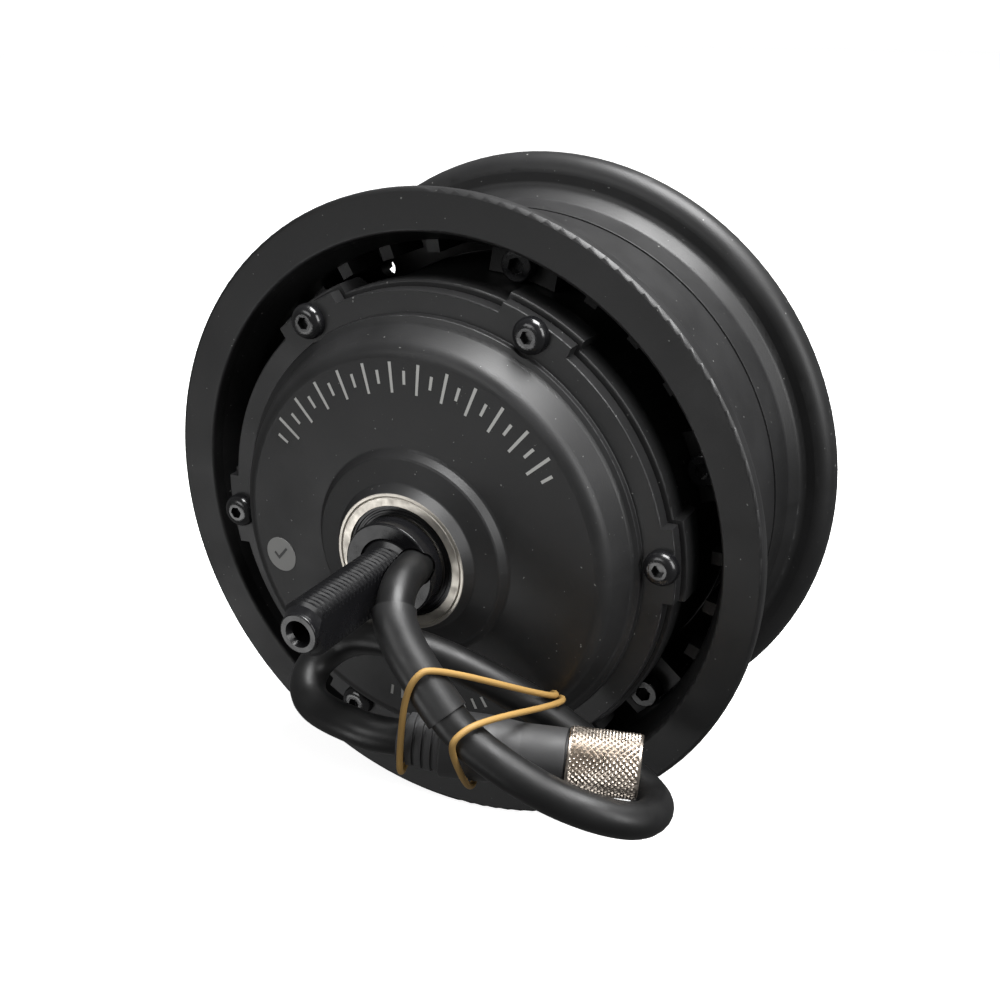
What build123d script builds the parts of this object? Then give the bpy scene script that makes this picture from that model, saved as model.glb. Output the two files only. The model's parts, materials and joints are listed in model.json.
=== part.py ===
from build123d import *
from math import cos, pi, radians, sin, tan
import os

# Hub motor wheel for a 10 inch scooter tyre, in millimetres.
# The axle lies along Y. The side with the motor cable is at -Y and the brake side at +Y.
# The origin is on the axle's centreline, midway between its two ends. +Z is up.
os.makedirs("parts", exist_ok=True)

# Driving dimensions
AXLE_HALF = 100.0          # from the origin to either end of the axle
JOURNAL_R = 8.5            # 17 mm bearing seats
BODY_R = 10.0              # axle between the bearings
THREAD_R = 7.0             # M14 x 1.5
THREAD_DEPTH = 0.92
PITCH = 1.5
THREADS = 23               # turns on each end
FLAT_X = 5.0               # two flats, 10 mm across
NOSE_R = 5.0
COLLAR_R = 12.5            # spacer outside each bearing
BEARING_IN_Y = 46.0        # inner face of each bearing
BEARING_OUT_Y = 56.0       # outer face of each bearing
COLLAR_END_Y = 61.5
BEARING_R = 17.5           # 6003 bearing: 17 x 35 x 10
BALL_R = 2.38
BALL_CIRCLE_R = 13.0
BALL_COUNT = 10
RUNNING_GAP = 0.05

RIM_R = 88.0               # outer edge of both flanges
FLANGE_BORE_R = 77.4       # inner edge of the flat flange face
SEAT_R = 76.2              # 6 inch tyre seat
BARREL_BORE_R = 73.7
NEAR_FACE_Y = -32.0
FAR_FACE_Y = 35.5
FLANGE_THICK = 7.0
SPLIT_Y = 14.0             # where the two halves of the rim meet
BOLT_CIRCLE_R = 69.3
BOLT_ANGLE = -41.5         # first rim bolt, from +X towards +Z
NEAR_TAB_Y = -12.0
FAR_TAB_Y = 16.0
TAB_THICK = 4.0
BOLT_HOLE_R = 2.75
BEAD_LEDGE = 4.2           # width of the raised ledge between each flange and the barrel

DRUM_R = 64.8
DRUM_BORE_R = 60.9
DRUM_END_Y = 33.0
LOBE_R = 67.5
LOBE_WIDTH = 20.0
COVER_EDGE_R = 64.7
FLANGE_TOP_Y = 37.4        # outer face of a cover's screw flange
GASKET = 0.4
SCREW_CIRCLE_R = 64.0
SCREW_ANGLE = 3.4          # first cover screw, from +X towards +Z
SCREWS = 6
BRAKE_CIRCLE_R = 22.0      # six M5 holes on a 44 mm circle
BRAKE_HOLE_R = 2.1
VALVE_HOLE_R = 4.25

STATOR_R = 55.2
STATOR_HALF = 20.0
TEETH = 27
MAGNETS = 30
MAGNET_IN_R = 56.0
FLUX_IN_R = 58.6

CABLE_R = 4.6
SLEEVE_R = 5.3             # shrink sleeve over the cable
LEAD_R = 3.3
BAND_R = 0.7               # elastic bands that hold the cable to the connector
DRAIN_HOLE_R = 2.4
DRAIN_CIRCLE_R = 70.6
DRAIN_ANGLE = 127.0

# Route of the motor cable, from the axle to the connector's boot
CABLE_ROUTE = [
    (6.5, -58.2, 1.8), (8.3, -63.0, 2.8), (9.0, -69.5, 2.5), (11.0, -76.0, 0.5),
    (13.0, -80.0, -3.0), (17.0, -82.5, -8.0), (21.5, -84.0, -12.5), (27.0, -85.5, -18.0),
    (33.5, -86.5, -24.5), (40.5, -86.5, -29.0), (48.5, -85.5, -33.5), (57.0, -83.0, -38.5),
    (67.0, -79.5, -42.5), (73.5, -73.5, -46.0), (75.0, -66.0, -48.5), (73.2, -59.0, -50.0),
    (67.5, -53.5, -50.2), (60.5, -50.8, -48.4), (53.0, -51.5, -44.5), (45.5, -53.0, -38.5),
    (37.0, -56.5, -31.5), (27.5, -60.0, -25.5), (17.0, -62.8, -20.5), (7.0, -64.9, -17.7),
    (-3.1, -64.9, -17.7), (-13.0, -62.8, -21.8), (-18.3, -65.6, -25.5), (-20.2, -69.6, -28.8),
    (-19.2, -73.8, -31.6), (-15.7, -77.2, -33.6), (-9.3, -79.8, -34.2), (0.0, -82.9, -33.2),
    (7.9, -83.6, -33.6), (13.7, -81.5, -34.1),
]
SLEEVE_RUNS = (3, 7)       # the sleeve starts and ends in the middle of these runs of the route

# Two closed bands. Both pass behind the cable's returning stretch and over its outgoing stretch.
# The first then passes under the boot and the second under the connector's body.
BOOT_BAND = [
    (43.9, -55.3, -29.2), (27.2, -87.0, -8.4), (24.7, -90.5, -9.8), (21.7, -91.0, -16.4),
    (17.9, -88.5, -33.2), (16.5, -86.9, -42.0), (12.8, -76.5, -42.0),
    (36.7, -50.0, -35.4), (40.7, -50.0, -30.5),
]
BODY_BAND = [
    (45.5, -54.6, -30.5), (39.8, -86.8, -19.6), (36.4, -93.0, -21.3), (34.8, -93.2, -25.7),
    (32.8, -81.0, -45.4), (29.2, -71.1, -45.4),
    (38.3, -49.3, -36.7), (42.3, -49.3, -31.8),
]

# Distances along the connector, from the end of the cable
BOOT_LENGTH = 10.5
BODY_END = 41.0
NUT_START = 41.5
FACE_START = 43.5
FACE_END = 50.4            # the contact face, 9 mm inside the nut's mouth
NUT_END = 59.4
NUT_R = 8.2

nodes = {}


def save(name, shape):
    """Keep a node, as its separate solids."""
    solids = shape.solids() if hasattr(shape, "solids") else [s for part in shape for s in part.solids()]
    nodes[name] = solids
    export_step(Compound(solids), f"parts/{name}.step")


def turned(*corners):
    """A solid turned about the axle. Each corner is (radius, y) or (radius, y, rounding)."""
    rounding = [corner[2] if len(corner) == 3 else 0 for corner in corners]
    outline = FilletPolyline(*[corner[:2] for corner in corners], radius=rounding, close=True)
    return revolve(make_face(outline), Axis.Y, 360)


def ring(inner, outer, y_low, y_high, edge=0.0):
    return turned((inner, y_low), (outer, y_low, edge), (outer, y_high, edge), (inner, y_high))


def post(radius, y_low, y_high, x=0.0, z=0.0):
    """A cylinder along the axle's direction."""
    return Pos(x, (y_low + y_high) / 2, z) * Rot(90, 0, 0) * Cylinder(radius, y_high - y_low)


def turn_to(shape, angle):
    """Turn a shape made at +X to an angle from +X towards +Z."""
    return Rot(0, -angle, 0) * shape


def around(shape, count, first=0.0):
    return [turn_to(shape, first + 360 / count * i) for i in range(count)]


def pair(shape):
    """A near shape and its mirror image on the far side."""
    return shape, mirror(shape, about=Plane.XZ)


def sides(shape, first):
    """A box, hole or bolt repeated at the six angles of a bolt circle."""
    return around(shape, SCREWS, first)


def joined(shapes):
    return Compound([solid for shape in shapes for solid in shape.solids()])


def cord_radii(points):
    """The largest arc that the two runs at each corner of a route allow."""
    radii = []
    for before, corner, after in zip(points, points[1:], points[2:]):
        run_in = Vector(*corner) - Vector(*before)
        run_out = Vector(*after) - Vector(*corner)
        turn = radians(run_in.get_angle(run_out))
        radii.append(0.45 * min(run_in.length, run_out.length) / tan(turn / 2))
    return radii


def tube_along(path, radius, inner=0.0):
    start = Plane(origin=path @ 0, z_dir=path % 0)
    section = Circle(radius) - Circle(inner) if inner else Circle(radius)
    return sweep(start * section, path=path)


def cord_path(points):
    """Straight runs joined by tangent arcs."""
    return FilletPolyline(*points, radius=cord_radii(points))


def inner_path(points):
    """The same, but only from the middle of the first run to the middle of the last one."""
    start = (Vector(*points[0]) + Vector(*points[1])) / 2
    end = (Vector(*points[-2]) + Vector(*points[-1])) / 2
    return FilletPolyline(start, *points[1:-1], end, radius=cord_radii(points))


def closed_tube(points, radius):
    """A round tube along a closed path, made as two halves that meet face to face."""
    half = len(points) // 2
    first = inner_path(points[-1:] + points[:half + 1])
    second = inner_path(points[half - 1:] + points[:1])
    return tube_along(first, radius) + tube_along(second, radius)


# Axle
def thread_corners(first_y):
    corners = []
    for turn in range(THREADS):
        y = first_y + turn * PITCH
        corners += [(THREAD_R - THREAD_DEPTH, y + 0.1), (THREAD_R, y + 0.65)]
        corners += [(THREAD_R, y + 0.85), (THREAD_R - THREAD_DEPTH, y + 1.4)]
    return corners


def axle_half():
    """Outline of one end, from the centre hole to the middle of the axle."""
    thread_start = -AXLE_HALF + 2.5
    corners = [(0, -86.0), (2.6, -87.5), (2.6, -98.6), (3.4, -AXLE_HALF)]
    corners += [(NOSE_R, -AXLE_HALF, 0.4), (NOSE_R, -AXLE_HALF + 1.2)]
    corners += thread_corners(thread_start)
    corners += [(THREAD_R - THREAD_DEPTH, -COLLAR_END_Y - 0.8), (JOURNAL_R - 0.8, -COLLAR_END_Y)]
    corners += [(JOURNAL_R, -COLLAR_END_Y + 0.8), (JOURNAL_R, -BEARING_IN_Y), (BODY_R, -BEARING_IN_Y, 0.3)]
    return corners + [(BODY_R, 0), (0, 0)]


LEAD_X, LEAD_Z = 4.2, 1.2
GROOVE_R = CABLE_R + 0.35
near_axle = turned(*axle_half())
for flat in (FLAT_X + 4, -FLAT_X - 4):
    near_axle -= Pos(flat, -AXLE_HALF + 18.5, 0) * Box(8, 38, 20)
near_axle, far_axle = pair(near_axle)
cable_way = [(6.0, -56.0, 1.4)] + CABLE_ROUTE[1:6]
cable_cut = tube_along(cord_path(cable_way), GROOVE_R)
axle = near_axle + far_axle
axle -= post(LEAD_R + 0.3, -58.0, -28.0, LEAD_X, LEAD_Z)
axle -= Pos(8.2, -32.0, LEAD_Z) * Box(8, 14, 2 * LEAD_R + 0.8)
axle -= cable_cut
save("axle", axle)

collar = ring(JOURNAL_R, COLLAR_R, -COLLAR_END_Y, -BEARING_OUT_Y, 0.5)
near_collar, far_collar = pair(collar)
save("axle_collar_near", near_collar - cable_cut)
save("axle_collar_far", far_collar)

# Bearings
GROOVE = BALL_R + RUNNING_GAP
BALL_Y = -(BEARING_IN_Y + BEARING_OUT_Y) / 2
SHOULDER_R = 15.05
raceway = revolve(Plane.XY * Pos(BALL_CIRCLE_R, BALL_Y) * Circle(GROOVE), Axis.Y, 360)
inner_ring = ring(JOURNAL_R, 11.45, -BEARING_OUT_Y, -BEARING_IN_Y, 0.3) - raceway
outer_ring = turned(
    (BEARING_R, -BEARING_IN_Y, 0.4), (BEARING_R, -BEARING_OUT_Y, 0.4), (SHOULDER_R, -BEARING_OUT_Y, 0.1),
    (SHOULDER_R, -54.2), (14.8, -54.2), (14.8, -47.8), (SHOULDER_R, -47.8),
    (SHOULDER_R, -BEARING_IN_Y, 0.1),
) - raceway
seal = turned(
    (11.6, -55.0), (11.6, -54.4), (15.0, -54.4), (15.0, -55.4), (14.4, -55.4), (14.2, -55.0),
    (13.8, -55.0), (13.6, -55.3), (13.2, -55.3), (13.0, -55.0), (12.6, -55.0), (12.4, -55.2),
)
inner_seal = Pos(0, 2 * BALL_Y, 0) * mirror(seal, about=Plane.XZ)
cage = ring(12.4, 13.6, BALL_Y - 3.1, BALL_Y + 3.1)
ball_pocket = Pos(BALL_CIRCLE_R, BALL_Y, 0) * Rot(0, 90, 0) * Cylinder(BALL_R + 0.05, 4)
for pocket in around(ball_pocket, BALL_COUNT):
    cage -= pocket
balls = around(Pos(BALL_CIRCLE_R, BALL_Y, 0) * Sphere(BALL_R), BALL_COUNT)
for name, shape in (("inner_ring", inner_ring), ("outer_ring", outer_ring), ("cage", cage)):
    near, far = pair(shape)
    save(f"bearing_{name}_near", near)
    save(f"bearing_{name}_far", far)
for name, group in (("seals", [seal, inner_seal]), ("balls", balls)):
    near, far = pair(joined(group))
    save(f"bearing_{name}_near", near)
    save(f"bearing_{name}_far", far)

# Stator
hub_outline = [(BODY_R, 16), (15, 16, 0.5), (15, 4, 2), (32, 4, 2), (32, 19.5, 0.5), (36, 19.5)]
stator_hub = turned(*hub_outline, *[(c[0], -c[1], *c[2:]) for c in reversed(hub_outline)])
for hole in around(post(5.5, -6, 6, 23.5), 6, 30):
    stator_hub -= hole
save("stator_hub", stator_hub)

core = ring(36, 41, -STATOR_HALF, STATOR_HALF) + ring(53.4, STATOR_R, -STATOR_HALF, STATOR_HALF)
for tooth in around(Pos(47.2, 0, 0) * Box(13.4, 2 * STATOR_HALF, 5.0), TEETH):
    core += tooth
slot_mouth = Pos(54.5, 0, 0) * Box(4, 2 * STATOR_HALF + 2, 2.4)
for mouth in around(slot_mouth, TEETH, 180 / TEETH):
    core -= mouth
save("stator_core", core)

coil = Pos(47.2, 0, 0) * (Box(11.2, 45.6, 9.0) - Box(12, 40.4, 5.2))
coil = fillet(coil.edges().filter_by(Axis.X).sort_by(SortBy.DISTANCE)[-4:], 1.8)
save("stator_windings", around(coil, TEETH))

board = ring(27.5, 35.6, -21.1, -19.5) & (Pos(30, -20, 0) * Box(36, 6, 52))
save("hall_sensor_board", board)

lead_route = [
    (LEAD_X, -56.6, LEAD_Z), (LEAD_X, -36.0, LEAD_Z), (11.5, -28.5, LEAD_Z),
    (20.0, -26.6, LEAD_Z), (27.0, -26.6, 3.0),
]
leads = sweep(
    Plane(origin=lead_route[0], z_dir=(0, 1, 0)) * Circle(LEAD_R),
    path=FilletPolyline(*lead_route, radius=[6, 8, 8]),
)
save("phase_leads", leads)

# Rotor
drum_outline = [(DRUM_BORE_R, DRUM_END_Y), (66.2, DRUM_END_Y, 0.6), (66.2, 26.5, 1.0), (DRUM_R, 24.0, 1.0)]
drum = turned(*drum_outline, *[(c[0], -c[1], *c[2:]) for c in reversed(drum_outline)])
near_lobes = turned(
    (64, -DRUM_END_Y), (LOBE_R + 1.3, -DRUM_END_Y, 0.6), (LOBE_R + 1.3, -24.0, 3.0), (64, -20.0),
)
near_lobes = near_lobes & joined(sides(Pos(66, -26, 0) * Box(12, 20, LOBE_WIDTH + 1.6), SCREW_ANGLE))
far_lobes = mirror(near_lobes, about=Plane.XZ)
drum = drum + near_lobes + far_lobes
for lug in sides(post(4.1, NEAR_TAB_Y + TAB_THICK, FAR_TAB_Y - TAB_THICK, BOLT_CIRCLE_R) +
                 Pos(66.5, 2, 0) * Box(5, 20, 8), BOLT_ANGLE):
    drum += lug
for hole in sides(post(2.5, NEAR_TAB_Y, NEAR_TAB_Y + 12, BOLT_CIRCLE_R), BOLT_ANGLE):
    drum -= hole
for hole in sides(post(2.5, FAR_TAB_Y - 12, FAR_TAB_Y, BOLT_CIRCLE_R), BOLT_ANGLE):
    drum -= hole
near_screw_holes = sides(post(2.5, -DRUM_END_Y - 1, -24.4, SCREW_CIRCLE_R), SCREW_ANGLE)
for hole in near_screw_holes:
    drum -= hole
    drum -= mirror(hole, about=Plane.XZ)
save("rotor_drum", drum)

save("flux_ring", ring(FLUX_IN_R, DRUM_BORE_R, -21.0, 21.0))
magnets = ring(MAGNET_IN_R, FLUX_IN_R, -STATOR_HALF, STATOR_HALF)
for gap in around(Pos(57.3, 0, 0) * Box(6, 44, 0.6), MAGNETS):
    magnets -= gap
save("rotor_magnets", magnets)

# Split rim
def rim_half(face_y, outward, seam):
    """One half of the rim. outward is -1 for the near half and 1 for the far half."""
    back_y = face_y - outward * FLANGE_THICK
    return turned(
        (BARREL_BORE_R, SPLIT_Y),
        (BARREL_BORE_R, face_y - outward * 11.0, 5.0),
        (FLANGE_BORE_R - 0.6, face_y - outward * 3.5, 1.0),
        (FLANGE_BORE_R, face_y, 0.9),
        (RIM_R, face_y, 1.0),
        (RIM_R, back_y, 4.8),
        (79.6, back_y, 2.4),
        (SEAT_R + 0.5, back_y - outward * BEAD_LEDGE, 2.5),
        *seam,
    )


def tabs(y_low, y_high):
    """Six pads that reach in from the barrel to the drum's lugs."""
    band = ring(65.1, BARREL_BORE_R + 0.8, y_low, y_high)
    pads = band & joined(sides(Pos(70, (y_low + y_high) / 2, 0) * Box(14, 12, 19), BOLT_ANGLE))
    for hole in sides(post(BOLT_HOLE_R, y_low - 1, y_high + 1, BOLT_CIRCLE_R), BOLT_ANGLE):
        pads -= hole
    return pads


near_half = rim_half(NEAR_FACE_Y, -1, [(SEAT_R, SPLIT_Y, 0.3)]) + tabs(NEAR_TAB_Y, NEAR_TAB_Y + TAB_THICK)
rib = ring(70.2, BARREL_BORE_R + 0.8, -19.0, -4.0) & (Pos(72, -12, 0) * Box(8, 20, 3.6))
for step in (18.5, 30.0, 41.5):
    for block in sides(rib, BOLT_ANGLE + step):
        near_half += block
valve_y = -4.0
near_half -= Pos(0, valve_y, -75) * Cylinder(VALVE_HOLE_R, 8)

# Each half is one casting. It is kept as two pieces that meet face to face: its flange, and its barrel.
near_flange_space = post(RIM_R + 2, NEAR_FACE_Y - 1, NEAR_FACE_Y + FLANGE_THICK + BEAD_LEDGE)
save("rim_near_flange", near_half & near_flange_space)
save("rim_near_barrel", near_half - near_flange_space)

PILOT_R = BARREL_BORE_R - 0.1
far_seam = [(SEAT_R, SPLIT_Y + 1.4, 0.2), (SEAT_R - 0.5, SPLIT_Y + 1.4), (SEAT_R - 0.5, SPLIT_Y)]
far_half = rim_half(FAR_FACE_Y, 1, far_seam) + ring(71.2, PILOT_R, SPLIT_Y - 2, SPLIT_Y + 4)
web = ring(65.2, BARREL_BORE_R + 0.8, FAR_TAB_Y - TAB_THICK, FAR_TAB_Y)
far_half += web - ring(PILOT_R, 80, 0, SPLIT_Y)
for hole in sides(post(BOLT_HOLE_R, 10, 19, BOLT_CIRCLE_R), BOLT_ANGLE):
    far_half -= hole
for hole in sides(post(DRAIN_HOLE_R, 10, 19, DRAIN_CIRCLE_R), DRAIN_ANGLE):
    far_half -= hole
far_half -= ring(74.2, 75.2, SPLIT_Y - 1, SPLIT_Y + 1.2)
for head_room in sides(post(4.5, FAR_TAB_Y, FAR_TAB_Y + 5, BOLT_CIRCLE_R), BOLT_ANGLE):
    far_half -= head_room
far_flange_space = post(RIM_R + 2, FAR_FACE_Y - FLANGE_THICK - BEAD_LEDGE, FAR_FACE_Y + 1)
save("rim_far_flange", far_half & far_flange_space)
save("rim_far_barrel", far_half - far_flange_space)
save("rim_seal_ring", ring(74.25, 75.15, SPLIT_Y, SPLIT_Y + 1.15, 0.3))


def cap_screw(shank_end, head_y, head_r, head_height, socket, outward):
    """A socket screw at +X origin. Its head stands from head_y in the outward direction."""
    low, high = sorted((head_y, head_y + outward * head_height))
    head = turned((0, low), (head_r, low, 0.5), (head_r, high, 0.5), (0, high))
    low, high = sorted((head_y, shank_end))
    screw = head + post(2.5, low, high)
    socket_cut = Pos(0, head_y + outward * head_height, 0) * Rot(90, 0, 0)
    return screw - socket_cut * extrude(RegularPolygon(socket, 6), head_height * 0.6, both=True)


rim_bolt = cap_screw(NEAR_TAB_Y + 11.5, NEAR_TAB_Y, 4.2, 5.0, 2.3, -1)
save("rim_bolts_near", sides(Pos(BOLT_CIRCLE_R, 0, 0) * rim_bolt, BOLT_ANGLE))
rim_bolt = cap_screw(FAR_TAB_Y - 11.5, FAR_TAB_Y, 4.2, 5.0, 2.3, 1)
save("rim_bolts_far", sides(Pos(BOLT_CIRCLE_R, 0, 0) * rim_bolt, BOLT_ANGLE))


# Covers
SEAT_Y = DRUM_END_Y + GASKET
FIELD_IN = (27.9, -49.8)
FIELD_OUT = (53.2, -47.9)


def field_y(radius):
    """The cover's main face, which falls gently from the boss to the shoulder."""
    share = (radius - FIELD_IN[0]) / (FIELD_OUT[0] - FIELD_IN[0])
    return FIELD_IN[1] + share * (FIELD_OUT[1] - FIELD_IN[1])


def lobed_flange(cover):
    """Add six screw lobes to a near-side cover, with a screw hole and a round pocket in each."""
    lobes = ring(62, LOBE_R, -FLANGE_TOP_Y, -SEAT_Y, 0.4)
    lobes = lobes & joined(sides(Pos(66, -35, 0) * Box(8, 10, LOBE_WIDTH), SCREW_ANGLE))
    cover += lobes
    for pocket in sides(post(5.7, -45, -FLANGE_TOP_Y, SCREW_CIRCLE_R), SCREW_ANGLE):
        cover -= pocket
    for hole in sides(post(2.7, -40, -30, SCREW_CIRCLE_R), SCREW_ANGLE):
        cover -= hole
    return cover


spigot = [
    (COVER_EDGE_R, -FLANGE_TOP_Y, 0.4), (COVER_EDGE_R, -SEAT_Y), (60.8, -SEAT_Y), (60.8, -29.8, 0.3),
    (58.4, -29.8, 0.3), (58.4, -34.2, 0.5), (54.4, -35.6, 1.0), (50.4, -44.2, 3.0), (24.8, -45.8, 1.0),
    (22.4, -43.8, 0.5), (15.4, -43.8, 0.3), (15.4, -BEARING_IN_Y), (BEARING_R, -BEARING_IN_Y),
]
cover_near = turned(
    (BEARING_R, -56.1, 0.2), (18.4, -56.1, 0.3), (20.1, -53.3, 0.6), (26.4, -52.2, 0.8), (*FIELD_IN, 0.9),
    (*FIELD_OUT, 4.5), (56.9, -39.6, 1.4), (58.7, -38.9, 0.3), (58.8, -FLANGE_TOP_Y, 0.3), *spigot,
)
cover_near = lobed_flange(cover_near)
save("cover_near", cover_near)

cover_far = turned(
    (BEARING_R, -56.1, 0.2), (18.6, -56.1, 0.3), (18.8, -54.6), (28.6, -54.6, 0.6), (29.6, -49.6, 1.2),
    (53.2, -47.9, 4.5), (56.9, -39.6, 1.4), (58.7, -38.9, 0.3), (58.8, -FLANGE_TOP_Y, 0.3), *spigot,
)
cover_far = mirror(lobed_flange(cover_far), about=Plane.XZ)
for hole in sides(post(BRAKE_HOLE_R, 47.4, 55.0, BRAKE_CIRCLE_R), SCREW_ANGLE):
    cover_far -= hole
save("cover_far", cover_far)

gasket = ring(61.0, 64.5, -SEAT_Y, -DRUM_END_Y)
for hole in sides(post(2.7, -36, -30, SCREW_CIRCLE_R), SCREW_ANGLE):
    gasket -= hole
near, far = pair(gasket)
save("cover_gasket_near", near)
save("cover_gasket_far", far)

HEAD_TOP_Y = -40.6
cover_screw = turned((0, HEAD_TOP_Y), (4.6, HEAD_TOP_Y, 2.3), (4.6, -FLANGE_TOP_Y), (0, -FLANGE_TOP_Y))
cover_screw += post(2.45, -FLANGE_TOP_Y, -25.0)
cover_screw -= Pos(0, HEAD_TOP_Y, 0) * Rot(90, 0, 0) * extrude(RegularPolygon(1.75, 6), 1.7, both=True)
screw_group = joined(sides(Pos(SCREW_CIRCLE_R, 0, 0) * cover_screw, SCREW_ANGLE))
near, far = pair(screw_group)
save("cover_screws_near", near)
save("cover_screws_far", far)

STICKER_X, STICKER_Z, STICKER_THICK = -42.9, -9.2, 0.15
sticker = turned(
    (36, field_y(36)), (50, field_y(50)),
    (50, field_y(50) - STICKER_THICK), (36, field_y(36) - STICKER_THICK),
)
save("inspection_sticker", sticker & post(4.9, -52, -46, STICKER_X, STICKER_Z))

# Motor cable
cable_path = cord_path(CABLE_ROUTE)
cable = tube_along(cable_path, CABLE_R)
save("motor_cable", cable)
print("cable length", round(cable_path.length, 1))
print("cable volume over its section", round(cable.volume / (pi * CABLE_R**2), 1))
print("cable radii", [round(r, 1) for r in cord_radii(CABLE_ROUTE)])

sleeve_corners = CABLE_ROUTE[SLEEVE_RUNS[0]:SLEEVE_RUNS[1] + 2]
save("cable_sleeve", tube_along(inner_path(sleeve_corners), SLEEVE_R, CABLE_R + 0.05))

save("rubber_bands", [closed_tube(BOOT_BAND, BAND_R), closed_tube(BODY_BAND, BAND_R)])

# Connector, made along Z from the end of the cable and laid along its axis
boot_start = Vector(*CABLE_ROUTE[-1])
connector_axis = boot_start - Vector(*CABLE_ROUTE[-2])
across = (-connector_axis.Z, 0, connector_axis.X)
connector_place = Plane(origin=boot_start, x_dir=across, z_dir=connector_axis)


def along_connector(*corners):
    """A solid turned about the connector's axis. Corners are (radius, distance), then any rounding."""
    rounding = [corner[2] if len(corner) == 3 else 0 for corner in corners]
    outline = FilletPolyline(*[(c[0], 0, c[1]) for c in corners], radius=rounding, close=True)
    return connector_place * revolve(make_face(outline), Axis.Z, 360)


RIBS = 4
rib_pitch = (BOOT_LENGTH - 1.0) / RIBS
boot_corners = [(0, 0)]
for i in range(RIBS):
    s = i * rib_pitch
    rib_r = 6.2 + 0.35 * i
    groove_r = rib_r - 0.6
    boot_corners += [(rib_r, s), (rib_r, s + 1.5), (groove_r, s + 1.7), (groove_r, s + rib_pitch - 0.2)]
boot_corners += [(7.4, BOOT_LENGTH - 1.0), (7.4, BOOT_LENGTH), (0, BOOT_LENGTH)]
save("connector_boot", along_connector(*boot_corners))

save("connector_body", along_connector(
    (0, BOOT_LENGTH), (8.4, BOOT_LENGTH, 0.6), (8.3, 22.0, 3.0), (7.4, 30.0, 3.0), (7.4, BODY_END, 0.4),
    (6.2, BODY_END), (6.2, FACE_START), (0, FACE_START),
))
insert = along_connector((0, FACE_START), (6.2, FACE_START), (6.2, FACE_END, 0.4), (0, FACE_END))
CONTACT_DEPTH = 5.0
power_contacts = [(3.3, angle, 1.3) for angle in (90, 210, 330)]
signal_contacts = [(4.4, angle, 0.8) for angle in (30, 150, 270)]
contacts = []
for circle_r, angle, outer_r in power_contacts + signal_contacts:
    spot = Pos(circle_r * cos(radians(angle)), circle_r * sin(radians(angle)), 0)
    socket = Pos(0, 0, FACE_END - CONTACT_DEPTH / 2) * Cylinder(outer_r, CONTACT_DEPTH)
    insert -= connector_place * spot * socket
    socket -= Pos(0, 0, FACE_END) * Cylinder(outer_r - 0.35, 8)
    contacts += (connector_place * spot * socket).solids()
save("connector_insert", insert)
save("connector_contacts", Compound(contacts))
save("connector_nut", along_connector(
    (6.5, NUT_START), (NUT_R, NUT_START, 0.5), (NUT_R, NUT_END, 0.5), (6.5, NUT_END),
))

print("nodes", len(nodes))
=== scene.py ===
import json
from math import cos, hypot, pi, radians, sin

import bpy
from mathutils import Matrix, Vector


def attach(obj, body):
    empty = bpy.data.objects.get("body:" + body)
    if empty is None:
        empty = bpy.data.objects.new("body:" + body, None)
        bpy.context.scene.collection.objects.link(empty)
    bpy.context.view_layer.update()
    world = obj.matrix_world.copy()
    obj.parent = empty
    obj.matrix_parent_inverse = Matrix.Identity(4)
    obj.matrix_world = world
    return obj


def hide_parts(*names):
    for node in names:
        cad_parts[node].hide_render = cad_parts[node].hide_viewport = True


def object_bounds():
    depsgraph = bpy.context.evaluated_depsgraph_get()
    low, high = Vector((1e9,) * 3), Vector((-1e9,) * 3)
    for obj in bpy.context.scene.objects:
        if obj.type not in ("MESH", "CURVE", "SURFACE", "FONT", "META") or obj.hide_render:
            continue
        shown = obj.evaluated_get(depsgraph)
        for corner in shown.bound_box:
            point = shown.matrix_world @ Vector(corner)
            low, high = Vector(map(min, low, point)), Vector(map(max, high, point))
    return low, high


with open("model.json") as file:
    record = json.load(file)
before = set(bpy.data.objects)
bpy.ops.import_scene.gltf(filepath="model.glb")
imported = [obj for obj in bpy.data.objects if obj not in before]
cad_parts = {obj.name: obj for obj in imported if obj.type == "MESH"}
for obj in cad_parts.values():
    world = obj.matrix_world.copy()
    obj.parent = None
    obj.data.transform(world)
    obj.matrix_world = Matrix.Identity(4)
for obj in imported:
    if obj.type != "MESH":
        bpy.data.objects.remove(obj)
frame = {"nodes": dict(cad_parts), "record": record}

cad_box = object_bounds()
scene = bpy.context.scene
nodes = frame["nodes"]
MM = 0.001

# ---------------------------------------------------------------------------
# Camera, light and surroundings

FLOOR_GAP = 1.0 * MM       # the floor lies this far under the wheel
FLOOR_R = 3.0
DOME_R = 3.2


def add_camera():
    data = bpy.data.cameras.new("camera")
    data.lens = 48.6
    data.sensor_width = 36.0
    data.shift_x = -0.053
    data.shift_y = 0.120
    data.clip_start = 0.01
    data.clip_end = 20.0
    camera = bpy.data.objects.new("camera", data)
    camera.location = Vector((170.96, -319.38, 142.34)) * MM
    camera.rotation_euler = (radians(62.99), 0.0, radians(25.89))
    scene.collection.objects.link(camera)
    scene.camera = camera


def add_panel(name, place, size, watts):
    """A rectangular soft light at a place, facing the middle of the wheel."""
    data = bpy.data.lights.new(name, "AREA")
    data.shape = "RECTANGLE"
    data.size, data.size_y = size
    data.energy = watts
    light = bpy.data.objects.new(name, data)
    light.location = place
    light.rotation_euler = (-Vector(place)).to_track_quat("-Z", "Y").to_euler()
    scene.collection.objects.link(light)


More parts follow.
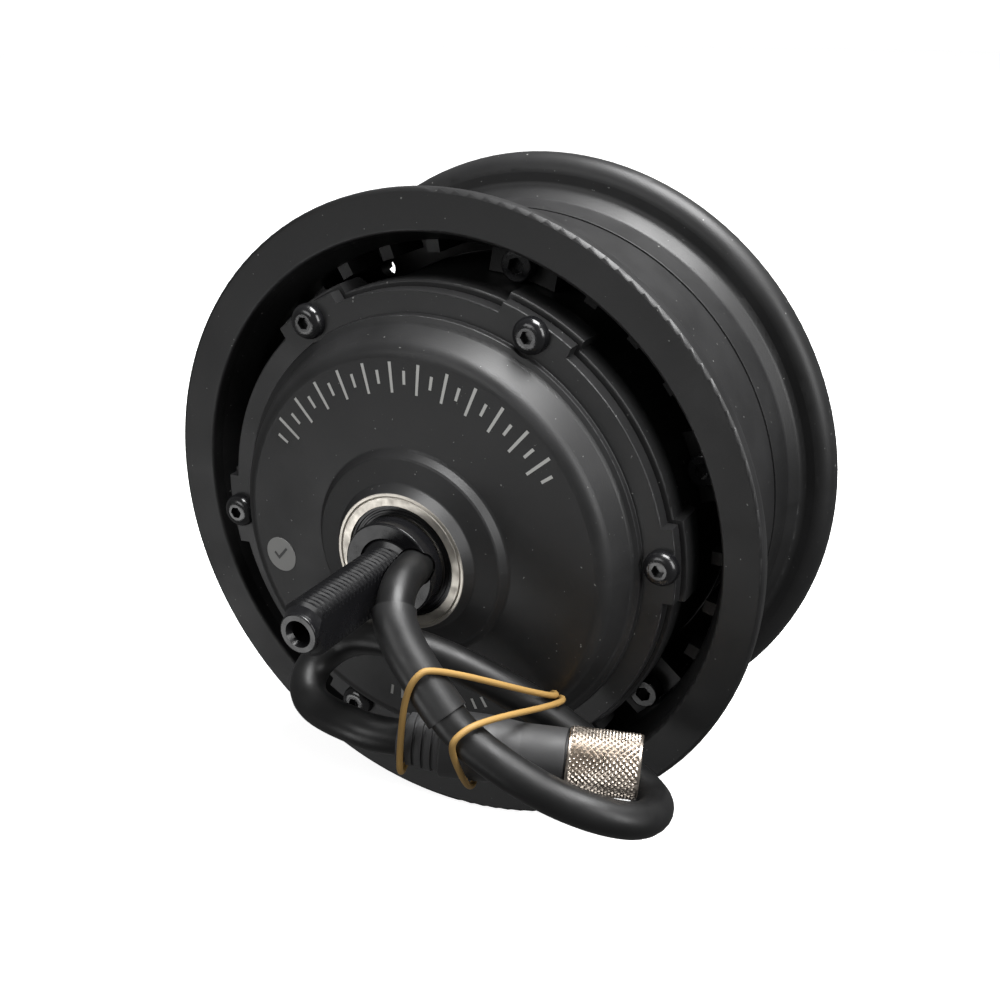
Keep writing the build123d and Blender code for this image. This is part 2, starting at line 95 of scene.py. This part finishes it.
def stage_material(name, strength):
    """White paper that also glows, so that the surroundings stay pale."""
    material = bpy.data.materials.new(name)
    material.use_nodes = True
    shader = material.node_tree.nodes["Principled BSDF"]
    shader.inputs["Base Color"].default_value = (0.9, 0.9, 0.9, 1.0)
    shader.inputs["Roughness"].default_value = 1.0
    shader.inputs["Specular IOR Level"].default_value = 0.0
    shader.inputs["Emission Color"].default_value = (1.0, 1.0, 1.0, 1.0)
    shader.inputs["Emission Strength"].default_value = strength
    return material


def add_surroundings():
    """A pale floor under the wheel and a pale dome round the room. Neither lights the wheel."""
    floor_place = (0, 0, cad_box[0].z - FLOOR_GAP)
    bpy.ops.mesh.primitive_circle_add(vertices=96, radius=FLOOR_R, fill_type="NGON", location=floor_place)
    floor = bpy.context.object
    floor.name = "floor"
    floor.data.materials.append(stage_material("floor_paper", 0.85))
    bpy.ops.mesh.primitive_uv_sphere_add(segments=48, ring_count=24, radius=DOME_R, location=(0, 0, 0))
    dome = bpy.context.object
    dome.name = "dome"
    dome.data.materials.append(stage_material("dome_paper", 1.0))
    for piece in (floor, dome):
        piece.visible_diffuse = False
        piece.visible_glossy = False
    dome.visible_shadow = False


def add_light():
    world = bpy.data.worlds.new("room")
    world.use_nodes = True
    background = world.node_tree.nodes["Background"]
    background.inputs["Color"].default_value = (1.0, 1.0, 1.0, 1.0)
    background.inputs["Strength"].default_value = 0.13
    scene.world = world
    add_panel("top_panel", (0.25, 0.10, 0.98), (0.8, 0.6), 26.0)
    add_panel("right_panel", (0.95, -0.25, 0.40), (0.4, 0.7), 5.0)
    add_panel("front_panel", (-0.30, -1.00, 0.45), (0.6, 0.4), 2.1)
    add_panel("low_panel", (-0.55, -0.95, -0.42), (0.7, 0.4), 2.4)


add_camera()
add_surroundings()
add_light()
scene.view_settings.view_transform = "Standard"

# ---------------------------------------------------------------------------
# Materials

BARE_STEEL = (0.72, 0.68, 0.61)
DUST_GREY = (0.30, 0.30, 0.29)
# Near-black colour of the painted shade inside the wheel's recess
PAINTED_SHADE_BLACK = (0.012, 0.012, 0.012)
PAINTED_SHADE_FADE = 2.0 * MM     # the painted shade of the recess fades in over this width
BARE_FADE = 0.1 * MM
# Places of the colour sockets of a Mix node
MIX_COLOUR_A, MIX_COLOUR_B, MIX_COLOUR_RESULT = 6, 7, 2


class Shader:
    """A principled material with helpers for the nodes that vary it."""

    def __init__(self, name, colour, roughness, metallic=0.0, specular=0.5):
        self.material = bpy.data.materials.new(name)
        self.material.use_nodes = True
        self.tree = self.material.node_tree
        self.principled = self.tree.nodes["Principled BSDF"]
        self.coordinates = self.tree.nodes.new("ShaderNodeTexCoord")
        self.set("Base Color", (*colour, 1.0))
        self.set("Roughness", roughness)
        self.set("Metallic", metallic)
        self.set("Specular IOR Level", specular)

    def set(self, socket, value):
        self.principled.inputs[socket].default_value = value

    def link(self, source, target):
        self.tree.links.new(source, target)

    def grain(self, scale, detail=2.0, stretch=(1.0, 1.0, 1.0)):
        """A noise pattern of that many cells per metre, as a node with a Fac output."""
        mapping = self.tree.nodes.new("ShaderNodeMapping")
        mapping.inputs["Scale"].default_value = stretch
        self.link(self.coordinates.outputs["Object"], mapping.inputs["Vector"])
        pattern = self.tree.nodes.new("ShaderNodeTexNoise")
        pattern.inputs["Scale"].default_value = scale
        pattern.inputs["Detail"].default_value = detail
        self.link(mapping.outputs["Vector"], pattern.inputs["Vector"])
        return pattern

    def ramp(self, source, low, high, from_value, to_value):
        """Map the pattern between low and high to a number between two values."""
        spread = self.tree.nodes.new("ShaderNodeMapRange")
        spread.inputs["From Min"].default_value = low
        spread.inputs["From Max"].default_value = high
        spread.inputs["To Min"].default_value = from_value
        spread.inputs["To Max"].default_value = to_value
        self.link(source, spread.inputs["Value"])
        return spread.outputs["Result"]

    def mix_colour(self, amount, first, second):
        """Blend from the first colour, or socket, to the second."""
        mix = self.tree.nodes.new("ShaderNodeMix")
        mix.data_type = "RGBA"
        self.link(amount, mix.inputs["Factor"])
        for socket, colour in ((MIX_COLOUR_A, first), (MIX_COLOUR_B, second)):
            if isinstance(colour, tuple):
                mix.inputs[socket].default_value = (*colour, 1.0)
            else:
                self.link(colour, mix.inputs[socket])
        return mix.outputs[MIX_COLOUR_RESULT]

    def radius(self):
        """The distance from the axle's centreline."""
        flatten = self.tree.nodes.new("ShaderNodeVectorMath")
        flatten.operation = "MULTIPLY"
        flatten.inputs[1].default_value = (1.0, 0.0, 1.0)
        self.link(self.coordinates.outputs["Object"], flatten.inputs[0])
        length = self.tree.nodes.new("ShaderNodeVectorMath")
        length.operation = "LENGTH"
        self.link(flatten.outputs["Vector"], length.inputs[0])
        return length.outputs["Value"]

    def colour_from(self, socket):
        self.link(socket, self.principled.inputs["Base Color"])

    def roughness_from(self, socket):
        self.link(socket, self.principled.inputs["Roughness"])

    def bump(self, height, distance, strength):
        """Add relief of that depth in metres."""
        relief = self.tree.nodes.new("ShaderNodeBump")
        relief.inputs["Distance"].default_value = distance
        relief.inputs["Strength"].default_value = strength
        self.link(height, relief.inputs["Height"])
        self.link(relief.outputs["Normal"], self.principled.inputs["Normal"])


def powder_coat(name, tone, roughness=0.45, bare_radius=0.0, painted_shade_radius=0.0):
    """Satin powder coat with dust. It is bare steel inside bare_radius, and painted darker inside
    painted_shade_radius as painted shade of the recess.
    """
    coat = Shader(name, (tone, tone, tone * 1.03), roughness)
    broad = coat.grain(60.0, 3.0)
    specks = coat.grain(900.0, 1.0)
    dust = coat.ramp(specks.outputs["Fac"], 0.77, 0.81, 0.0, 0.7)
    shade = coat.mix_colour(
        coat.ramp(broad.outputs["Fac"], 0.35, 0.65, 0.0, 1.0),
        (tone * 0.85, tone * 0.85, tone * 0.87), (tone * 1.15, tone * 1.15, tone * 1.18),
    )
    colour = coat.mix_colour(dust, shade, DUST_GREY)
    if painted_shade_radius:
        # Painted shade: the paint fades to near black inside the recess, where light doesn't reach
        painted_recess_shade = coat.ramp(coat.radius(), painted_shade_radius - PAINTED_SHADE_FADE, painted_shade_radius, 1.0, 0.0)
        colour = coat.mix_colour(painted_recess_shade, colour, PAINTED_SHADE_BLACK)
    if bare_radius:
        bare = coat.ramp(coat.radius(), bare_radius - BARE_FADE, bare_radius, 1.0, 0.0)
        colour = coat.mix_colour(bare, colour, BARE_STEEL)
        coat.link(bare, coat.principled.inputs["Metallic"])
    coat.colour_from(colour)
    coat.roughness_from(coat.ramp(broad.outputs["Fac"], 0.3, 0.7, roughness - 0.04, roughness + 0.05))
    coat.bump(coat.grain(2600.0, 2.0).outputs["Fac"], 0.00004, 0.6)
    return coat.material


def black_oxide(name, specular=0.8):
    """Oiled black steel with soft wear."""
    steel = Shader(name, (0.008, 0.008, 0.009), 0.22, specular=specular)
    wear = steel.grain(300.0, 4.0)
    steel.roughness_from(steel.ramp(wear.outputs["Fac"], 0.3, 0.7, 0.14, 0.32))
    steel.bump(steel.grain(900.0, 3.0).outputs["Fac"], 0.00003, 0.5)
    return steel.material


def turned_steel(name, colour, roughness):
    """Bright steel with fine turning lines round the axle."""
    steel = Shader(name, colour, roughness, metallic=1.0)
    blotch = steel.grain(400.0, 3.0)
    lines = steel.grain(120.0, 4.0, (1.0, 40.0, 1.0))
    steel.roughness_from(steel.ramp(blotch.outputs["Fac"], 0.3, 0.7, roughness - 0.08, roughness + 0.12))
    steel.bump(lines.outputs["Fac"], 0.00002, 0.4)
    return steel.material


def rubber(name, tone, roughness, tint=(1.0, 1.0, 1.02)):
    """Rubber with soft mottling: black or grey, or tinted."""
    skin = Shader(name, tuple(tone * share for share in tint), roughness)
    mottle = skin.grain(180.0, 3.0)
    skin.roughness_from(skin.ramp(mottle.outputs["Fac"], 0.3, 0.7, roughness - 0.07, roughness + 0.08))
    skin.bump(skin.grain(1500.0, 3.0).outputs["Fac"], 0.00003, 0.5)
    return skin.material


def plain(name, colour, roughness, metallic=0.0):
    """A single colour with slight mottling of the gloss."""
    skin = Shader(name, colour, roughness, metallic)
    mottle = skin.grain(500.0, 3.0)
    skin.roughness_from(skin.ramp(mottle.outputs["Fac"], 0.3, 0.7, roughness - 0.06, roughness + 0.08))
    return skin.material


def dress(material, *names):
    """Give CAD nodes a material."""
    for name in names:
        for slot in nodes[name].material_slots:
            slot.material = material


def both(name, part=""):
    """The names of a near and a far node. A part's name follows the side."""
    return [f"{name}_{side}_{part}" if part else f"{name}_{side}" for side in ("near", "far")]


# Inside this radius the rim's paint gets painted shade, for the dark recess round the cover
PAINTED_SHADE_R = 74.2 * MM
SEAL_SEAT_R = 18.45 * MM
rim_paint = powder_coat("rim_paint", 0.016, painted_shade_radius=PAINTED_SHADE_R)
dress(rim_paint, *both("rim", "flange"), *both("rim", "barrel"))
dress(powder_coat("drum_paint", 0.014, 0.5), "rotor_drum")
dress(powder_coat("cover_paint", 0.020, bare_radius=SEAL_SEAT_R), *both("cover"))
dress(black_oxide("axle_black", specular=0.55), "axle")
dress(black_oxide("collar_black", specular=0.35), *both("axle_collar"))
dress(black_oxide("screw_black"), *both("cover_screws"), *both("rim_bolts"))
ring_steel = turned_steel("ring_steel", BARE_STEEL, 0.45)
dress(ring_steel, *both("bearing_outer_ring"), *both("bearing_inner_ring"))
dress(turned_steel("ball_steel", (0.8, 0.8, 0.8), 0.12), *both("bearing_balls"), *both("bearing_cage"))
dress(rubber("seal_rubber", 0.008, 0.35), *both("bearing_seals"), "rim_seal_ring", *both("cover_gasket"))
dress(plain("cast_aluminium", (0.6, 0.6, 0.61), 0.45, 1.0), "stator_hub")
dress(plain("lamination_steel", (0.3, 0.3, 0.32), 0.5, 1.0), "stator_core", "flux_ring")
dress(plain("enamelled_copper", (0.55, 0.2, 0.07), 0.35, 0.8), "stator_windings")
dress(plain("magnet_plating", (0.6, 0.6, 0.6), 0.3, 1.0), "rotor_magnets")
dress(plain("board_green", (0.01, 0.09, 0.03), 0.4), "hall_sensor_board")
dress(plain("contact_gold", (0.8, 0.55, 0.2), 0.25, 1.0), "connector_contacts")
cable_skin = rubber("cable_skin", 0.008, 0.42)
dress(cable_skin, "phase_leads")
dress(rubber("sleeve_skin", 0.016, 0.42), "cable_sleeve")
dress(rubber("boot_rubber", 0.07, 0.55), "connector_boot")
dress(rubber("body_rubber", 0.045, 0.5), "connector_body", "connector_insert")
nickel = turned_steel("nickel", (0.60, 0.53, 0.46), 0.3)
band_skin = rubber("band_skin", 0.42, 0.6, (1.0, 0.60, 0.18))
dress(plain("sticker_paper", (0.42, 0.42, 0.41), 0.6), "inspection_sticker")

# ---------------------------------------------------------------------------
# Motor cable

CABLE_DIAMETER = 9.2 * MM
# The cable's route, from the axle to the connector's boot, in millimetres
CABLE_ROUTE = [
    (6.5, -58.2, 1.8), (8.3, -63.0, 2.8), (9.0, -69.5, 2.5), (11.0, -76.0, 0.5),
    (13.0, -80.0, -3.0), (17.0, -82.5, -8.0), (21.5, -84.0, -12.5), (27.0, -85.5, -18.0),
    (33.5, -86.5, -24.5), (40.5, -86.5, -29.0), (48.5, -85.5, -33.5), (57.0, -83.0, -38.5),
    (67.0, -79.5, -42.5), (73.5, -73.5, -46.0), (75.0, -66.0, -48.5), (73.2, -59.0, -50.0),
    (67.5, -53.5, -50.2), (60.5, -50.8, -48.4), (53.0, -51.5, -44.5), (45.5, -53.0, -38.5),
    (37.0, -56.5, -31.5), (27.5, -60.0, -25.5), (17.0, -62.8, -20.5), (7.0, -64.9, -17.7),
    (-3.1, -64.9, -17.7), (-13.0, -62.8, -21.8), (-18.3, -65.6, -25.5), (-20.2, -69.6, -28.8),
    (-19.2, -73.8, -31.6), (-15.7, -77.2, -33.6), (-9.3, -79.8, -34.2), (0.0, -82.9, -33.2),
    (7.9, -83.6, -33.6), (13.7, -81.5, -34.1),
]
BAND_RADIUS = 0.8 * MM
# Two closed bands that tie the cable to the connector, in millimetres
BOOT_BAND = [
    (43.9, -55.3, -29.2), (27.2, -87.0, -8.4), (24.7, -90.5, -9.8), (21.7, -91.0, -16.4),
    (17.9, -88.5, -33.2), (16.5, -86.9, -42.0), (12.8, -76.5, -42.0),
    (36.7, -50.0, -35.4), (40.7, -50.0, -30.5),
]
BODY_BAND = [
    (45.5, -54.6, -30.5), (39.8, -86.8, -19.6), (36.4, -93.0, -21.3), (34.8, -93.2, -25.7),
    (32.8, -81.0, -45.4), (29.2, -71.1, -45.4),
    (38.3, -49.3, -36.7), (42.3, -49.3, -31.8),
]


def nurbs_curve(name, points, bevel, closed=False):
    """A round cord or band along a route in millimetres."""
    data = bpy.data.curves.new(name, "CURVE")
    data.dimensions = "3D"
    data.bevel_depth = bevel
    data.bevel_resolution = 10
    data.resolution_u = 10
    data.use_fill_caps = True
    spline = data.splines.new("NURBS")
    spline.points.add(len(points) - 1)
    for control, point in zip(spline.points, points):
        control.co = (*(Vector(point) * MM), 1.0)
    spline.order_u = 3
    spline.use_cyclic_u = closed
    spline.use_endpoint_u = not closed
    curve = bpy.data.objects.new(name, data)
    scene.collection.objects.link(curve)
    return curve


def finish_piece(piece, material, body, slot, *replaced):
    """Give a piece its material and body, and hide the CAD nodes that it replaces. The slot is not used."""
    piece.data.materials.append(material)
    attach(piece, body)
    if replaced:
        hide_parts(*replaced)


cable = nurbs_curve("motor_cable_jacket", CABLE_ROUTE, CABLE_DIAMETER / 2)
finish_piece(cable, cable_skin, "root", "cable_jacket", "motor_cable")

boot_band = nurbs_curve("boot_band", BOOT_BAND, BAND_RADIUS, closed=True)
finish_piece(boot_band, band_skin, "root", "band_rubber", "rubber_bands")
body_band = nurbs_curve("body_band", BODY_BAND, BAND_RADIUS, closed=True)
finish_piece(body_band, band_skin, "root", "band_rubber", "rubber_bands")

# ---------------------------------------------------------------------------
# Knurled nut of the connector

PLUG_FACE = next(mount for mount in frame["record"]["mounts"] if mount["name"] == "plug_face")
NUT_BACK, NUT_FRONT = -8.9 * MM, 9.0 * MM      # both ends of the nut, measured from the plug's face
NUT_BORE_R, NUT_RIM_R = 6.5 * MM, 8.0 * MM
KNURL_LOW_R, KNURL_HEIGHT = 7.75 * MM, 0.45 * MM
KNURL_COUNT, KNURL_PITCH = 32, 1.6 * MM
RIM_WIDTH = 0.9 * MM
RIM_BEVEL = 0.25 * MM
STEPS_PER_KNURL = 8


def zigzag(value):
    """Rises from 0 to 1 and falls back, once for each whole number."""
    return 1.0 - abs(2.0 * (value % 1.0) - 1.0)


def knurl(turn, along):
    """Height of the diamond knurl, from 0 to 1, at a share of a turn and a distance along the nut."""
    climbing = zigzag(KNURL_COUNT * turn + along / KNURL_PITCH)
    falling = zigzag(KNURL_COUNT * turn - along / KNURL_PITCH)
    return min(1.0, 1.25 * min(climbing, falling))


def nut_rows():
    """Rows of the nut's outline: (distance from the plug's face, radius, knurl height)."""
    low, high = NUT_BACK + RIM_WIDTH, NUT_FRONT - RIM_WIDTH
    steps = round((high - low) / KNURL_PITCH * STEPS_PER_KNURL)
    back_rim = [
        (NUT_BACK, NUT_BORE_R, 0), (NUT_BACK, NUT_RIM_R - RIM_BEVEL, 0),
        (NUT_BACK + RIM_BEVEL, NUT_RIM_R, 0), (low - RIM_BEVEL, NUT_RIM_R, 0),
    ]
    knurled = [(low + (high - low) * i / steps, KNURL_LOW_R, KNURL_HEIGHT) for i in range(steps + 1)]
    front_rim = [
        (high + RIM_BEVEL, NUT_RIM_R, 0), (NUT_FRONT - RIM_BEVEL, NUT_RIM_R, 0),
        (NUT_FRONT, NUT_RIM_R - RIM_BEVEL, 0), (NUT_FRONT, NUT_BORE_R, 0),
    ]
    return back_rim + knurled + front_rim


def add_nut():
    """The knurled ring as one closed surface round the plug's axis."""
    axis = Vector(PLUG_FACE["axis"]).normalized()
    face = Vector(PLUG_FACE["pos_m"])
    side = axis.cross(Vector((0, 0, 1))).normalized()
    up = side.cross(axis)
    steps = KNURL_COUNT * STEPS_PER_KNURL
    rows = nut_rows()
    points = []
    for along, radius, height in rows:
        for step in range(steps):
            turn = step / steps
            reach = radius + height * knurl(turn, along) if height else radius
            angle = 2 * pi * turn
            points.append(face + axis * along + (side * cos(angle) + up * sin(angle)) * reach)
    faces = []
    for row in range(len(rows)):
        following = (row + 1) % len(rows)
        for step in range(steps):
            across = (step + 1) % steps
            faces.append((row * steps + step, row * steps + across,
                          following * steps + across, following * steps + step))
    mesh = bpy.data.meshes.new("knurled_nut")
    mesh.from_pydata(points, [], faces)
    nut = bpy.data.objects.new("knurled_nut", mesh)
    scene.collection.objects.link(nut)
    return nut


nut = add_nut()
finish_piece(nut, nickel, "connector_nut", "nickel", "connector_nut")

# ---------------------------------------------------------------------------
# Printed marks on the near cover, in place of lettering

# The cover's main face falls in a straight line between these two (radius, y) points
FACE_INNER = (27.9, -49.8)
FACE_OUTER = (53.2, -47.9)
PRINT_LIFT = 0.04
STICKER_PRINT_LIFT = 0.19
MARK_WIDTH = 1.0           # in degrees


def face_point(x, z, lift):
    """A point above the cover's face by lift, all in millimetres, as a point in metres."""
    share = (hypot(x, z) - FACE_INNER[0]) / (FACE_OUTER[0] - FACE_INNER[0])
    y = FACE_INNER[1] + share * (FACE_OUTER[1] - FACE_INNER[1]) - lift
    return Vector((x, y, z)) * MM


def polar(radius, angle):
    """A point (x, z) at an angle in degrees from +X towards +Z."""
    return radius * cos(radians(angle)), radius * sin(radians(angle))


def add_print(name, shapes, paint, lift=PRINT_LIFT):
    """Flat printed shapes, each a list of (x, z) corners, that turn with the wheel."""
    points = []
    faces = []
    for corners in shapes:
        faces.append(tuple(range(len(points), len(points) + len(corners))))
        points += [face_point(x, z, lift) for x, z in corners]
    mesh = bpy.data.meshes.new(name)
    mesh.from_pydata(points, [], faces)
    piece = bpy.data.objects.new(name, mesh)
    scene.collection.objects.link(piece)
    finish_piece(piece, paint, "wheel", "sticker")


def mark(radii, angle):
    """A short radial bar between an inner and an outer radius."""
    inner, outer = radii
    end = angle + MARK_WIDTH
    return [polar(inner, angle), polar(inner, end), polar(outer, end), polar(outer, angle)]


print_paint = plain("print_paint", (0.60, 0.60, 0.58), 0.5)
tick_ink = plain("tick_ink", (0.10, 0.10, 0.10), 0.5)

# A scale of radial marks over the top of the cover, each second one long
SCALE_START, SCALE_END = 147.0, 34.0
SCALE_MARKS = 25
SHORT_MARK = (44.2, 47.6)
LONG_MARK = (42.0, 49.6)
scale_step = (SCALE_END - SCALE_START) / (SCALE_MARKS - 1)
scale = []
for i in range(SCALE_MARKS):
    scale.append(mark(LONG_MARK if i % 2 else SHORT_MARK, SCALE_START + scale_step * i))
add_print("face_scale", scale, print_paint)

# A row of ticks low on the cover
TICK_START, TICK_PITCH = -103.0, 4.2
TICK_COUNT = 10
TICK_RADII = (42.8, 46.0)
ticks = [mark(TICK_RADII, TICK_START + TICK_PITCH * i) for i in range(TICK_COUNT)]
add_print("index_ticks", ticks, print_paint)

# A plain tick on the round sticker
STICKER_X, STICKER_Z = -42.9, -9.2
TICK_SHAPE = [(-2.4, 0.1), (-1.9, 0.7), (-0.8, -0.5), (1.9, 2.4), (2.4, 1.9), (-0.8, -1.6)]
sticker_tick = [(STICKER_X + x, STICKER_Z + z) for x, z in TICK_SHAPE]
add_print("sticker_tick", [sticker_tick], tick_ink, lift=STICKER_PRINT_LIFT)
